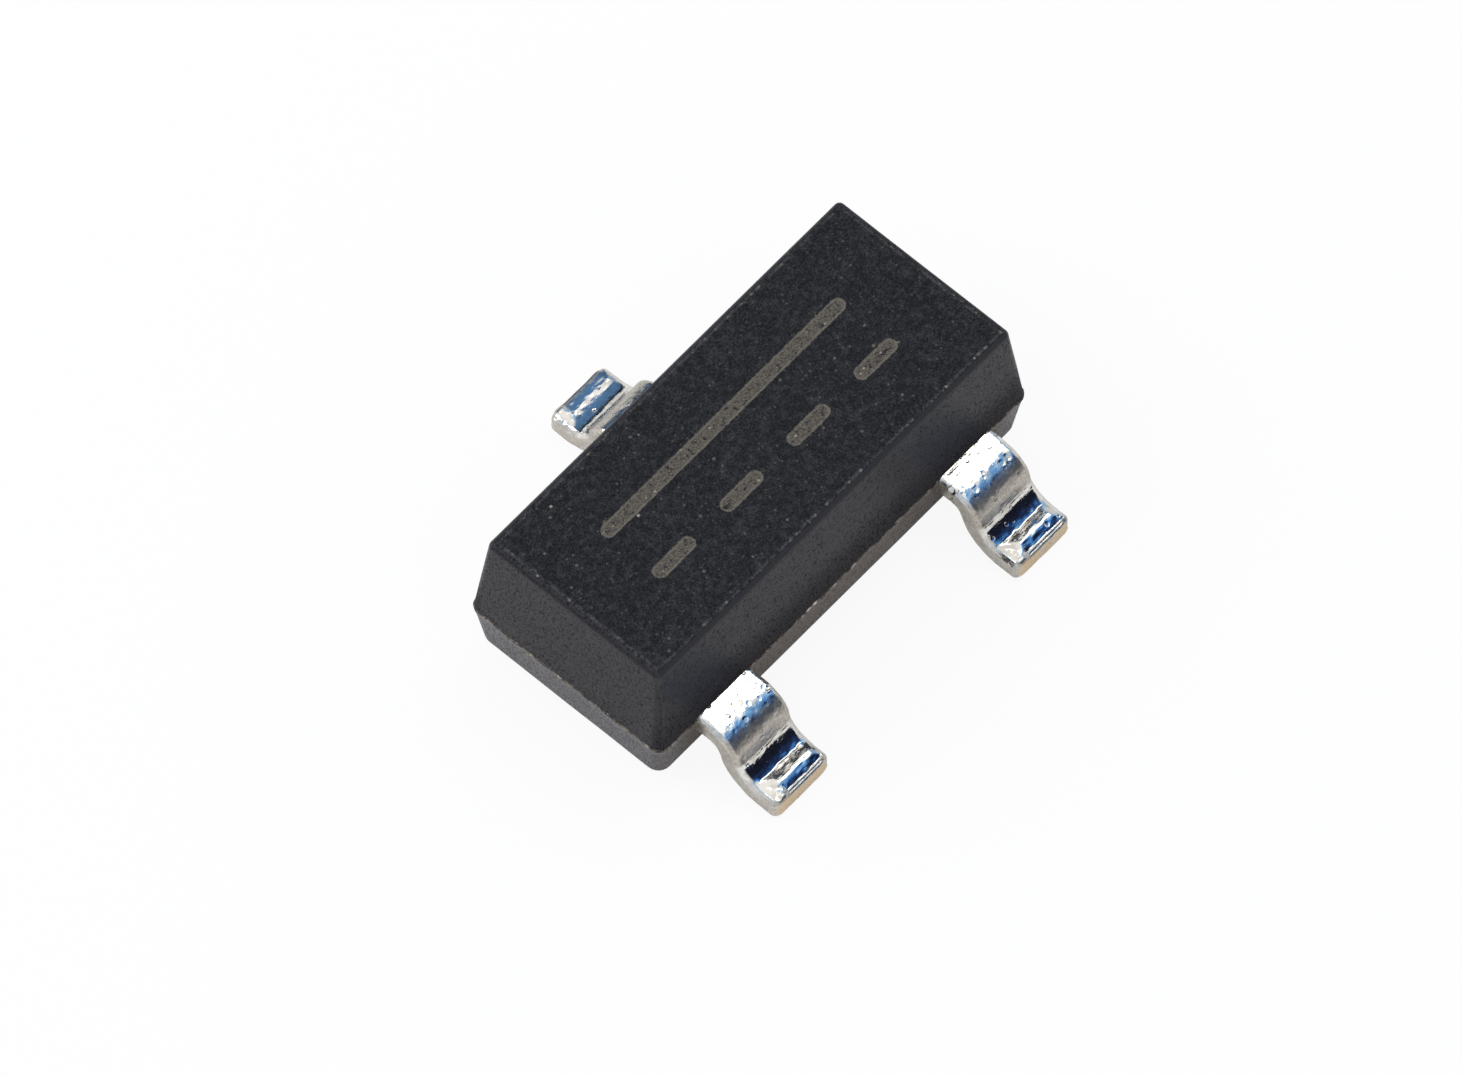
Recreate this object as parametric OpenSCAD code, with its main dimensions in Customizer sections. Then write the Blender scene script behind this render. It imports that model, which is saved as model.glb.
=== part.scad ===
// Three-lead surface-mount transistor in a small-outline moulded package.
// Millimetres, +Z up. The origin is on the seating plane, under the middle of the body.
// +Y points to the side with the single drain lead; the gate and source leads leave on -Y.

/* [Moulded body] */
// Length of the body at its parting line
body_length = 2.9; // [2.7:0.01:3.1]
// Width of the body at its parting line
body_width = 1.34; // [1.2:0.01:1.5]
// Height from the seating plane to the top of the body
overall_height = 1.1; // [1:0.01:1.3]
// Gap between the seating plane and the underside of the body
standoff = 0.1; // [0.02:0.01:0.15]
// Height of the parting line above the seating plane
parting_height = 0.43; // [0.38:0.01:0.5]
// Height of the upright land left where the two mould halves close
parting_land = 0.012; // [0.008:0.002:0.02]
// Draft of the walls away from the parting line, in degrees
draft_angle = 6; // [3:0.5:9]
// Radius of the upright corners at the parting line
corner_radius = 0.05; // [0.04:0.005:0.1]
// Radius of the edges round the top and the underside
edge_radius = 0.035; // [0.02:0.005:0.05]

/* [Leads] */
// Distance between the two leads that share a side
lead_pitch = 1.9; // [1.8:0.01:2]
// Distance between the tips of opposite leads
lead_span = 2.46; // [2.3:0.01:2.64]
// Width of each lead
lead_width = 0.43; // [0.36:0.01:0.5]
// Thickness of the plated lead frame
lead_thickness = 0.15; // [0.1:0.005:0.18]
// Height of the lead frame's top face above the parting line
lead_rise = 0.015; // [0.01:0.005:0.04]
// Length of the flat sole at the end of each lead
foot_length = 0.12; // [0.06:0.01:0.2]
// Steepness of the leg between the two bends, in degrees
leg_angle = 72; // [55:1:80]
// Inside radius of the upper bend
shoulder_radius = 0.05; // [0.03:0.005:0.08]
// Inside radius of the lower bend
heel_radius = 0.15; // [0.08:0.005:0.17]
// Rounding along the long edges of each lead
lead_edge_radius = 0.03; // [0.02:0.005:0.04]
// Rounding of the two corners at the tip, seen from above
toe_radius = 0.045; // [0.03:0.005:0.08]

/* [Lead frame inside the body] */
// Length of the paddle that carries the die
paddle_length = 1; // [0.9:0.01:1.1]
// Width of the paddle that carries the die
paddle_width = 0.9; // [0.8:0.01:0.96]
// Width of the bond posts on the gate and source leads
post_width = 0.3; // [0.2:0.01:0.36]
// Gap between the paddle and each bond post
frame_gap = 0.14; // [0.1:0.01:0.2]
// Moulding left between the bond posts and the walls of the body
frame_cover = 0.16; // [0.12:0.01:0.2]
// Corner radius of the paddle and the bond posts
frame_radius = 0.05; // [0.03:0.01:0.08]

/* [Die and bond wires] */
// Side of the square silicon die
die_side = 0.5; // [0.35:0.01:0.7]
// Thickness of the silicon die
die_thickness = 0.18; // [0.12:0.01:0.25]
// Thickness of the adhesive under the die
attach_thickness = 0.02; // [0.01:0.005:0.03]
// Width of the adhesive fillet round the die
attach_margin = 0.03; // [0.01:0.005:0.05]
// Diameter of the bond wires
wire_diameter = 0.03; // [0.02:0.002:0.04]
// Rise of the bond wires above the face of the die
wire_loop = 0.13; // [0.1:0.01:0.18]
// Diameter of the ball that joins each wire to the die
ball_diameter = 0.08; // [0.06:0.005:0.1]
// Height of that ball, and of the flattened end on the post
ball_height = 0.024; // [0.018:0.002:0.03]

/* [Hidden] */
$fn = 32;

half_length = body_length / 2;
half_width = body_width / 2;

// heights, from the seating plane
frame_top = parting_height + lead_rise;
frame_bottom = frame_top - lead_thickness;
attach_top = frame_top + attach_thickness;
die_top = attach_top + die_thickness;

// the formed lead: two bends joined by a straight leg, whose slope eases off where the drop is too short for it
bend_radii = shoulder_radius + heel_radius + lead_thickness;
leg_slope = min(leg_angle, acos(max(0, 1 - frame_bottom / bend_radii)));
leg_length = max(0, frame_bottom - bend_radii * (1 - cos(leg_slope))) / sin(leg_slope);
bend_run = bend_radii * sin(leg_slope) + leg_length * cos(leg_slope);
shoulder_end = lead_span / 2 - foot_length - bend_run;
// the formed strip starts this far inside the wall, where the stamped plate ends
root_depth = 0.06;
root_start = min(half_width, shoulder_end) - root_depth;

// bond posts, between the paddle and the end wall
post_inner = paddle_length / 2 + frame_gap;
post_outer = half_length - frame_cover;
post_front = half_width - frame_cover;
post_back = post_front - post_width;

// bond wires: where each starts on the die and ends on its post
pad_share = 0.3;
pad_reach = die_side * pad_share;
stitch_share = 0.4;
stitch_x = post_inner + (post_outer - post_inner) * stitch_share;
stitch_y = (post_front + post_back) / 2;
wire_start = [pad_reach, -pad_reach, die_top + ball_height / 2];
wire_end = [stitch_x, -stitch_y, frame_top + wire_diameter / 2];
wire_run = norm([wire_end[0] - wire_start[0], wire_end[1] - wire_start[1]]);
wire_heading = atan2(wire_end[1] - wire_start[1], wire_end[0] - wire_start[0]);
wire_drop = wire_start[2] - wire_end[2];
wire_sides = 8;
wire_steps = 14;
ball_sides = 12;
// shape of the loop: a steep rise off the ball, then a long shallow fall to the post
rise_gain = 1.9;
fall_share = 0.55;
fall_lift = 0.65;

// rounded rectangle about the origin
module rounded_plate(size, radius) {
    square([size[0] - 2 * radius, size[1]], center = true);
    square([size[0], size[1] - 2 * radius], center = true);
    for (sx = [-1, 1], sy = [-1, 1])
        translate([sx * (size[0] / 2 - radius), sy * (size[1] / 2 - radius)])
            circle(radius);
}

// section of the plated strip, its top face on the x axis and its depth along +y
module strip_section() {
    translate([0, lead_thickness / 2])
        rounded_plate([lead_width, lead_thickness], lead_edge_radius);
}

// the same section turned for a bend, its depth along +x from the inside radius
module bend_section(inside) {
    translate([inside + lead_thickness / 2, 0])
        rounded_plate([lead_thickness, lead_width], lead_edge_radius);
}

// straight strip along +Y, top face at z = 0; what follows is placed at its end
module straight(run) {
    rotate([-90, 0, 0])
        linear_extrude(run)
            strip_section();
    translate([0, run, 0])
        children();
}

// bend that turns the strip down
module bend_down(slope, inside) {
    outside = inside + lead_thickness;
    translate([0, 0, -outside])
        rotate([0, -90, 0])
            rotate_extrude(angle = slope)
                bend_section(inside);
    translate([0, outside * sin(slope), outside * (cos(slope) - 1)])
        rotate([-slope, 0, 0])
            children();
}

// bend that turns the strip back up to the level
module bend_up(slope, inside) {
    translate([0, 0, inside])
        rotate([0, 90, 0])
            rotate_extrude(angle = slope)
                bend_section(inside);
    translate([0, inside * sin(slope), inside * (1 - cos(slope))])
        rotate([slope, 0, 0])
            children();
}

// last length of the strip, with the corners of its tip rounded
module foot(run) {
    intersection() {
        straight(run);
        translate([0, 0, -2 * lead_thickness])
            linear_extrude(3 * lead_thickness) {
                translate([-lead_width, -run])
                    square([2 * lead_width, 2 * run - toe_radius]);
                translate([toe_radius - lead_width / 2, 0])
                    square([lead_width - 2 * toe_radius, run]);
                for (side = [-1, 1])
                    translate([side * (lead_width / 2 - toe_radius), run - toe_radius])
                        circle(toe_radius);
            }
    }
}

// one lead outside the body: shoulder, bend, leg, bend and foot
module formed_lead() {
    translate([0, root_start, frame_top])
        straight(shoulder_end - root_start)
            bend_down(leg_slope, shoulder_radius)
                straight(leg_length)
                    bend_up(leg_slope, heel_radius)
                        foot(foot_length);
}

// flat part of the lead frame, at the height of the leads
module frame_plate() {
    translate([0, 0, frame_bottom])
        linear_extrude(lead_thickness)
            children();
}

// lead with a bond post; side is -1 for the gate and +1 for the source
module post_lead(side) {
    translate([side * lead_pitch / 2, 0, 0])
        rotate([0, 0, 180])
            formed_lead();
    frame_plate() {
        translate([side * (post_inner + post_outer) / 2, -stitch_y])
            rounded_plate([post_outer - post_inner, post_width], frame_radius);
        translate([side * lead_pitch / 2 - lead_width / 2, -root_start])
            square([lead_width, root_start - stitch_y]);
    }
}

// point of the loop at share t, as distance along the wire and height above its start
function loop_at(t) =
    let (s = 1 - t)
    [3 * s * t * t * fall_share * wire_run + t * t * t * wire_run,
     3 * s * s * t * rise_gain * wire_loop
         + 3 * s * t * t * (fall_lift * wire_loop - wire_drop)
         - t * t * t * wire_drop];

// direction of the loop at share t
function loop_slope(t) =
    let (s = 1 - t,
         a = [0, rise_gain * wire_loop],
         b = [fall_share * wire_run, (fall_lift - rise_gain) * wire_loop - wire_drop],
         c = [(1 - fall_share) * wire_run, -fall_lift * wire_loop],
         d = s * s * a + 2 * s * t * b + t * t * c)
    d / norm(d);

// ring of points round the wire at share t
function wire_ring(t) =
    let (p = loop_at(t), d = loop_slope(t), r = wire_diameter / 2)
    [for (k = [0:wire_sides - 1])
        let (q = (k + 0.5) * 360 / wire_sides)
        [p[0] - d[1] * r * sin(q), r * cos(q), p[1] + d[0] * r * sin(q)]];

// bond wire: a ball on the die, a looped tube and a flattened end on the post
module bond_wire() {
    rings = [for (i = [0:wire_steps]) wire_ring(i / wire_steps)];
    last = wire_steps * wire_sides;
    translate(wire_start)
        rotate([0, 0, wire_heading])
            polyhedron(
                points = [for (ring = rings) each ring],
                faces = concat(
                    [[for (k = [0:wire_sides - 1]) k]],
                    [[for (k = [0:wire_sides - 1]) last + wire_sides - 1 - k]],
                    [for (i = [0:wire_steps - 1], k = [0:wire_sides - 1])
                        let (a = i * wire_sides, m = (k + 1) % wire_sides)
                        [a + m, a + k, a + wire_sides + k]],
                    [for (i = [0:wire_steps - 1], k = [0:wire_sides - 1])
                        let (a = i * wire_sides, m = (k + 1) % wire_sides)
                        [a + m, a + wire_sides + k, a + wire_sides + m]]));
    translate([wire_start[0], wire_start[1], die_top])
        cylinder(d = ball_diameter, h = ball_height, $fn = ball_sides);
    translate([wire_end[0], wire_end[1], frame_top])
        cylinder(d = ball_diameter, h = ball_height, $fn = ball_sides);
}

// quarter-round dome whose crown rounds off a corner of the body
module edge_dome() {
    rotate_extrude()
        intersection() {
            circle(edge_radius);
            square(edge_radius);
        }
}

// four copies, one in each corner of a rectangle
module at_corners(x, y) {
    for (sx = [-1, 1], sy = [-1, 1])
        translate([sx * x, sy * y, 0])
            children();
}

// inset of an edge dome that rolls against a drafted wall of the given height
function dome_inset(wall) =
    (wall - parting_land / 2 - edge_radius) * tan(draft_angle) + edge_radius / cos(draft_angle);

// outside of the moulding: widest at the parting line, drafted above and below it
module body_outside() {
    top_inset = dome_inset(overall_height - parting_height);
    base_inset = dome_inset(parting_height - standoff);
    hull() {
        translate([0, 0, parting_height - parting_land / 2])
            at_corners(half_length - corner_radius, half_width - corner_radius)
                cylinder(r = corner_radius, h = parting_land);
        translate([0, 0, overall_height - edge_radius])
            at_corners(half_length - top_inset, half_width - top_inset)
                edge_dome();
        translate([0, 0, standoff + edge_radius])
            at_corners(half_length - base_inset, half_width - base_inset)
                mirror([0, 0, 1])
                    edge_dome();
    }
}

// epoxy moulded round the lead frame, the die and the wires
module moulded_body() {
    color([0.13, 0.13, 0.14])
        difference() {
            body_outside();
            gate_lead();
            source_lead();
            drain_lead();
            die_attach();
            silicon_die();
            gate_bond_wire();
            source_bond_wire();
        }
}

// gate lead and its bond post, one piece
module gate_lead() {
    color([0.72, 0.71, 0.68])
        post_lead(-1);
}

// source lead and its bond post, one piece
module source_lead() {
    color([0.72, 0.71, 0.68])
        post_lead(1);
}

// drain lead and the paddle under the die, one piece
module drain_lead() {
    color([0.72, 0.71, 0.68]) {
        formed_lead();
        frame_plate() {
            rounded_plate([paddle_length, paddle_width], frame_radius);
            translate([-lead_width / 2, 0])
                square([lead_width, root_start]);
        }
    }
}

// adhesive between the paddle and the die
module die_attach() {
    side = die_side + 2 * attach_margin;
    color([0.62, 0.64, 0.66])
        translate([-side / 2, -side / 2, frame_top])
            cube([side, side, attach_thickness]);
}

// silicon die
module silicon_die() {
    color([0.3, 0.32, 0.38])
        translate([-die_side / 2, -die_side / 2, attach_top])
            cube([die_side, die_side, die_thickness]);
}

// wire from the die to the gate post
module gate_bond_wire() {
    color([0.85, 0.66, 0.25])
        mirror([1, 0, 0])
            bond_wire();
}

// wire from the die to the source post
module source_bond_wire() {
    color([0.85, 0.66, 0.25])
        bond_wire();
}

moulded_body();
gate_lead();
source_lead();
drain_lead();
die_attach();
silicon_die();
gate_bond_wire();
source_bond_wire();
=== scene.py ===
"""Surface-mount transistor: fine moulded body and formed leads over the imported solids, in a pale studio."""

import bpy
import numpy as np
from bpy.props import FloatProperty, FloatVectorProperty, PointerProperty
from mathutils import Matrix, Vector


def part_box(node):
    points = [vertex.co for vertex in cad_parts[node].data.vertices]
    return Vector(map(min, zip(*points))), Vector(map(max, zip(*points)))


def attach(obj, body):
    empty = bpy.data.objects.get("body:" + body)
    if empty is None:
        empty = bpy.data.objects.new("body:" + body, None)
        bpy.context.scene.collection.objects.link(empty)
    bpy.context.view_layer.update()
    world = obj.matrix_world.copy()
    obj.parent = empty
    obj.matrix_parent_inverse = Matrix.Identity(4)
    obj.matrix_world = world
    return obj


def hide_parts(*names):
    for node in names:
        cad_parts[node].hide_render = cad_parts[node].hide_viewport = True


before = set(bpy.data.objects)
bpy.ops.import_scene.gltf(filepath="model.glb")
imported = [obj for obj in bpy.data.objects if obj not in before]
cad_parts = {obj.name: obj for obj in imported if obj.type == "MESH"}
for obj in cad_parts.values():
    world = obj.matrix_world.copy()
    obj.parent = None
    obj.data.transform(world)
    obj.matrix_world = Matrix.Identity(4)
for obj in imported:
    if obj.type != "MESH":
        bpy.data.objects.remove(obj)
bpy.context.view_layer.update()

bl_info = {
    "name": "Surface-Mount Transistor",
    "version": (1, 0, 0),
    "blender": (4, 5, 0),
    "location": "View3D > Sidebar > Transistor",
    "description": "Builds the moulded body, formed leads and studio of a three-lead transistor",
    "category": "Object",
}

MM = 0.001
UM = 0.000001
BODY_LOW, BODY_HIGH = (np.array(corner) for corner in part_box("moulded_body"))
DRAIN_LOW, DRAIN_HIGH = (np.array(corner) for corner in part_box("drain_lead"))
GATE_LOW, GATE_HIGH = (np.array(corner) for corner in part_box("gate_lead"))

# Steps of the surfaces: long side, short side and corner of a ring, then steps along the profile or path
BODY_RING = (196, 88, 6)
LOWER_STEPS, UPPER_STEPS = (20, 8), (40, 9)
LAND_RINGS, UNDER_RINGS = 5, 26
LEAD_RING = (64, 18, 7)
FLAT_STEPS, SHOULDER_STEPS, LEG_STEPS, HEEL_STEPS, FOOT_STEPS = 90, 34, 12, 96, 64
PROFILE_STEPS = 2400
SURROUND_RING = (24, 96)

# Etched strokes: half length and row of the bar as shares of the body, the dashes as shares of the bar
BAR_REACH, STROKE_ROW, DASH_REACH = 0.62, 0.27, 0.12
DASH_PLACES = (-0.88, -0.293, 0.293, 0.88)

# Extra tilt of a lead's upper face, in degrees, at distances in micrometres from the tip along that face
STEPPED_FOOT = (
    (0, 3), (24, 3), (28, -3), (37, -3), (42, 36), (56, 32), (84, 25), (90, 5), (101, 3), (106, -6),
    (120, -6), (140, -14), (162, -22), (171, 10), (200, 5), (262, -4), (272, 0), (282, 0),
    (287, -13), (297, -13), (302, 0),
)
DISHED_FOOT = ((0, 0), (24, 0), (30, 12), (86, 8), (95, -2), (112, -2), (122, 6), (160, 0))
SAGGED_SHOULDER = ((364, 0), (400, -5), (520, -3), (570, 0), (616, 7), (700, 8), (741, 0))

# Sides of the pressed part of a foot: distances from the tip and from the middle line, in millimetres
PRESSED_LEFT = ((0.03, -0.105), (0.10, -0.120), (0.25, -0.190))
PRESSED_RIGHT = ((0.05, 0.185), (0.12, 0.160), (0.25, 0.200))
PLAIN_HEEL = 0.335 * MM

# Studio: half the floor's side, and the radius, lower edge, upper edge and front edge of the surround
FLOOR_REACH = 150 * MM
SURROUND = (60 * MM, 3 * MM, 82 * MM, 120 * MM)


def length(name, description, default):
    """Property for a length in metres."""
    return FloatProperty(name=name, description=description, default=default, unit="LENGTH", precision=6)


def share(name, description, default):
    """Property for a plain number from 0 to 1."""
    return FloatProperty(name=name, description=description, default=default, min=0.0, max=1.0)


def tint(name, description, default):
    """Property for a linear colour."""
    return FloatVectorProperty(name=name, description=description, default=default, subtype="COLOR",
                               size=3, min=0.0, max=1.0)


def angle(name, description, degrees):
    """Property for an angle."""
    return FloatProperty(name=name, description=description, default=np.radians(degrees), subtype="ANGLE")


class MouldingSettings(bpy.types.PropertyGroup):
    """Sizes and colours of the epoxy body."""

    parting: length("Parting height", "Height of the parting line above the board", 0.43 * MM)
    land: length("Parting land", "Height of the upright land at the parting line", 0.012 * MM)
    draft: angle("Draft", "Slope of the walls away from the parting line", 6.0)
    corner: length("Corner radius", "Radius of the upright corners at the parting line", 0.062 * MM)
    foot_corner: length("Underside corner", "Corner radius of the flat underside", 0.045 * MM)
    edge: length("Edge radius", "Radius of the edges round the top and the underside", 0.035 * MM)
    flash: length("Flash", "How far the moulding flash stands out of the parting line", 8 * UM)
    relief: length("Relief", "Depth of the mould's fine texture", 1.1 * UM)
    stroke: length("Stroke width", "Width of the etched index strokes", 0.086 * MM)
    etch: length("Etch depth", "Depth of the etched index strokes", 5 * UM)
    dark: tint("Resin", "Resin on the top", (0.0036, 0.0042, 0.0058))
    cloud: tint("Cloud", "Faint paler blotches on the top", (0.037, 0.036, 0.039))
    wall: tint("Wall", "Smoother resin on the walls", (0.0100, 0.0090, 0.0112))
    silica: tint("Silica", "Filler grains that show at the surface", (0.46, 0.40, 0.33))
    etched: tint("Etched", "Laser-etched strokes", (0.112, 0.099, 0.082))
    # The lower wall colour is a painted reflection: a paler grey that stands in for the bright floor these
    # walls face.
    lower: tint("Lower wall", "Walls below the parting line", (0.108, 0.097, 0.106))
    # The colour below is painted shade: a darker, browner tone low on the long sides beside the leads.
    painted_shade: tint("Painted shade", "Resin bleed low on the lead sides", (0.066, 0.044, 0.025))
    brown: tint("Flash tint", "Thin flash along the parting line", (0.26, 0.21, 0.16))


class LeadSettings(bpy.types.PropertyGroup):
    """Sizes and colours of the plated leads."""

    width: length("Width", "Width of a lead outside the body", 0.43 * MM)
    thickness: length("Thickness", "Thickness of the plated lead frame", 0.15 * MM)
    pitch: length("Pitch", "Distance between the two leads on one side", 1.9 * MM)
    foot: length("Foot", "Length of the flat sole", 0.12 * MM)
    slope: angle("Leg slope", "Steepness of the leg between its bends", 72.0)
    shoulder: length("Shoulder radius", "Inside radius of the upper bend", 0.05 * MM)
    heel: length("Heel radius", "Inside radius of the lower bend", 0.15 * MM)
    edge: length("Edge radius", "Rounding along the long edges", 0.036 * MM)
    toe: length("Toe radius", "Rounding of the corners at the tip, seen from above", 0.045 * MM)
    tip: length("Tip radius", "Rounding of the tip's upper and lower edge", 0.034 * MM)
    paddle: length("Paddle width", "Width of the paddle across the drain lead", 1.0 * MM)
    cover: length("Cover", "Moulding between the bond posts and the body's side", 0.16 * MM)
    lumps: length("Lumps", "Height of the plating's unevenness", 1.8 * UM)
    press: share("Press marks", "Strength of the forming marks on the upper face", 1.0)
    bright: tint("Tin", "Clean tin", (0.84, 0.815, 0.765))
    dull: tint("Dull tin", "Duller patches", (0.62, 0.59, 0.54))
    # The tin below is partly duller tin and partly painted shade and warm floor reflection.
    dull_and_shaded: tint("Dull and shaded tin", "Tin on the bent leg and the sides", (0.54, 0.492, 0.425))
    copper: tint("Cut tip", "Base metal at the cut tip", (0.80, 0.62, 0.40))


class StudioSettings(bpy.types.PropertyGroup):
    """Camera, floor and surround."""

    azimuth: angle("Azimuth", "Direction of the camera round the part", -48.26)
    elevation: angle("Elevation", "Height of the camera above the board", 61.46)
    field: length("Field width", "Width of the picture at the part", 7.662 * MM)
    aside: length("Aside", "How far the part stands right of the picture's middle", 0.0955 * MM)
    above: length("Above", "How far the part stands above the picture's middle", 0.2047 * MM)
    floor: tint("Floor", "Pale floor", (0.95, 0.95, 0.95))
    room: tint("Room", "Light from the room", (0.66, 0.68, 0.71))
    sky: tint("Sky", "Upper edge and right side of the surround", (0.26, 0.54, 0.92))
    blue: tint("Blue", "Band under the upper edge of the front panel", (0.07, 0.26, 0.70))
    dusk: tint("Dusk", "Band in the middle of the front panel", (0.016, 0.038, 0.130))
    shade: tint("Shade", "Lower part of the front panel", (0.010, 0.013, 0.026))
    pool: tint("Pool", "Panel of the surround behind the part", (0.115, 0.245, 0.46))
    haze: tint("Haze", "Left side of the surround", (0.38, 0.61, 0.92))
    glow: share("Floor glow", "Share of plain white in the floor as the camera sees it", 0.91)
    mirrored: share("Mirrored glow", "Share of plain white in the floor as metal and glass show it", 0.26)


def lattice_noise(points, cell, seed):
    """Smooth noise from -1 to 1: a hashed value at each corner of a cubic lattice, eased along each axis.

    With f the place inside a cell and e = f * f * (3 - 2 f), the noise is the sum over the eight corners of
    value * product of (e or 1 - e).
    """
    place = points / cell
    low = np.floor(place)
    ease = place - low
    ease = ease * ease * (3.0 - 2.0 * ease)
    total = np.zeros(points.shape[:-1])
    for corner in np.ndindex(2, 2, 2):
        key = (low + corner).astype(np.int64)
        mixed = key[..., 0] * 73856093 ^ key[..., 1] * 19349663 ^ key[..., 2] * 83492791 ^ seed * 40503
        mixed = mixed * 2654435761 & 0xFFFFFFFF
        mixed = (mixed ^ mixed >> 15) * 2246822519 & 0xFFFFFFFF
        value = (mixed ^ mixed >> 13) / 2147483648.0 - 1.0
        total += value * np.prod(np.where(corner, ease, 1.0 - ease), axis=-1)
    return total


def smooth_step(low, high, value):
    """Rises from 0 at low to 1 at high along the cubic 3 t^2 - 2 t^3; falls where high is the smaller."""
    t = np.clip((value - low) / (high - low), 0.0, 1.0)
    return t * t * (3.0 - 2.0 * t)


def grid_quads(rows, columns, start=0, closed=False):
    """Corner numbers of the quads of a grid stored row by row; closed joins the last column to the first."""
    across = np.arange(columns if closed else columns - 1)
    row = np.arange(rows - 1)[:, None] * columns
    here, beside = row + across, row + (across + 1) % columns
    return start + np.stack([here, beside, beside + columns, here + columns], axis=-1).reshape(-1, 4)


def weld(points, quads):
    """Merges points that share a place, so seams and poles close, and drops the quads that shrink to a line.

    Gives the points left, their quads, and the number that each point had before.
    """
    keys = np.round(points / (0.01 * UM)).astype(np.int64)
    _, first, number = np.unique(keys, axis=0, return_index=True, return_inverse=True)
    corners = number.reshape(-1)[quads]
    repeats = (corners == np.roll(corners, -1, axis=1)).sum(axis=1)
    return points[first], corners[repeats < 2], first


def point_normals(points, quads):
    """Unit normal at each point: the sum of the crossed diagonals of the quads around it."""
    a, b, c, d = (points[quads[:, k]] for k in range(4))
    face = np.cross(c - a, d - b)
    total = np.zeros_like(points)
    for k in range(4):
        np.add.at(total, quads[:, k], face)
    return total / np.linalg.norm(total, axis=1, keepdims=True)


def make_piece(name, points, quads, slot, *replaced):
    """Puts points and quads into a smooth mesh object that rides on the part and stands for CAD nodes."""
    keep = quads != np.roll(quads, -1, axis=1)
    sides = keep.sum(axis=1)
    mesh = bpy.data.meshes.new(name)
    mesh.vertices.add(len(points))
    mesh.vertices.foreach_set("co", points.astype(np.float32).ravel())
    mesh.loops.add(int(sides.sum()))
    mesh.loops.foreach_set("vertex_index", quads[keep].astype(np.int32))
    mesh.polygons.add(len(sides))
    mesh.polygons.foreach_set("loop_start", (np.cumsum(sides) - sides).astype(np.int32))
    mesh.polygons.foreach_set("use_smooth", np.ones(len(sides), bool))
    mesh.update(calc_edges=True)
    if mesh.validate():
        raise RuntimeError(f"{name} has faults in its mesh")
    piece = bpy.data.objects.new(name, mesh)
    bpy.context.scene.collection.objects.link(piece)
    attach(piece, "root")
    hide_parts(*replaced)
    return piece


def add_field(piece, name, values):
    """Stores a length for each point of a piece, in millimetres, for its material to read."""
    field = piece.data.attributes.new(name, "FLOAT", "POINT")
    field.data.foreach_set("value", (values / MM).astype(np.float32))


def ring_table(along, across, turn):
    """Signs and unit arcs of a rounded rectangle with `along`, `across` and `turn` steps to its parts.

    A point of the ring is (sx * (a - c) + ux * c, sy * (b - c) + uy * c) for half sizes a, b and corner c.
    """
    table = []
    for k, steps in enumerate((along, across, along, across)):
        swing = np.radians(90.0 * k + np.linspace(0.0, 90.0, turn + 1))
        sx, sy = ((1, 1), (-1, 1), (-1, -1), (1, -1))[k]
        signs = np.full(turn + 1, sx), np.full(turn + 1, sy)
        table.append(np.stack([*signs, np.cos(swing), np.sin(swing)], axis=1))
        slide = np.linspace(1.0, -1.0, steps + 1)[1:-1]
        still = np.ones(steps - 1)
        moving = (sx * slide, sy * still) if k % 2 == 0 else (sx * still, sy * slide)
        out = np.radians(90.0 * (k + 1))
        table.append(np.stack([*moving, np.cos(out) * still, np.sin(out) * still], axis=1))
    return np.concatenate(table).T


def edge_inset(height, s):
    """How far the flat of the top or the underside lies inside the parting outline, by its height."""
    return (height - s.land / 2 - s.edge) * np.tan(s.draft) + s.edge / np.cos(s.draft)


def wall_profile(s):
    """Inset, height and corner radius of the body's rings, from the middle of the underside to the top.

    The underside is a ring carried inwards until it closes on a seam. Each half has a quarter arc of the edge
    radius, rolled against a straight drafted wall that runs to the land.
    """
    def half(height, walls, arcs, start):
        inset = edge_inset(height, s)
        swing = np.linspace(np.pi / 2, s.draft, arcs)
        arc = np.stack([inset - s.edge * np.cos(swing), height - s.edge + s.edge * np.sin(swing),
                        start + s.edge * np.cos(swing)], axis=1)
        end = np.array([0.0, s.land / 2, s.corner])
        step = 1.0 - (1.0 - np.linspace(0.0, 1.0, walls)[1:]) ** 1.5
        return np.concatenate([arc, arc[-1] + (end - arc[-1]) * step[:, None]])

    lower = half(s.parting - BODY_LOW[2], *LOWER_STEPS, s.foot_corner) * (1.0, -1.0, 1.0)
    upper = half(BODY_HIGH[2] - s.parting, *UPPER_STEPS, 0.0)
    rise = np.linspace(-0.5, 0.5, LAND_RINGS + 2)[1:-1] * s.land
    land = np.stack([np.zeros(LAND_RINGS), rise, np.full(LAND_RINGS, s.corner)], axis=1)
    reach = BODY_HIGH[1] - lower[0, 0]
    inner = reach * np.linspace(1.0, 0.0, UNDER_RINGS + 1)[:-1] ** 1.4
    corners = np.maximum(s.foot_corner - inner, 0.0)
    under = np.stack([lower[0, 0] + inner, np.full(UNDER_RINGS, lower[0, 1]), corners], axis=1)
    rings = np.concatenate([under, lower, land, upper[::-1]])
    return rings + (0.0, s.parting, 0.0)


def etch_distance(points, s):
    """Distance outside the etched index strokes, negative inside them.

    A stroke is a round-ended bar: the distance to its middle line less half the stroke's width.
    """
    half_long = BODY_HIGH[0] * BAR_REACH
    row = BODY_HIGH[1] * STROKE_ROW
    dash = half_long * DASH_REACH
    bars = [(0.0, row, half_long)] + [(half_long * place, -row, dash) for place in DASH_PLACES]
    gaps = [np.hypot(np.maximum(np.abs(points[:, 0] - x) - reach, 0.0), points[:, 1] - y)
            for x, y, reach in bars]
    return np.min(gaps, axis=0) - s.stroke / 2


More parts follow.
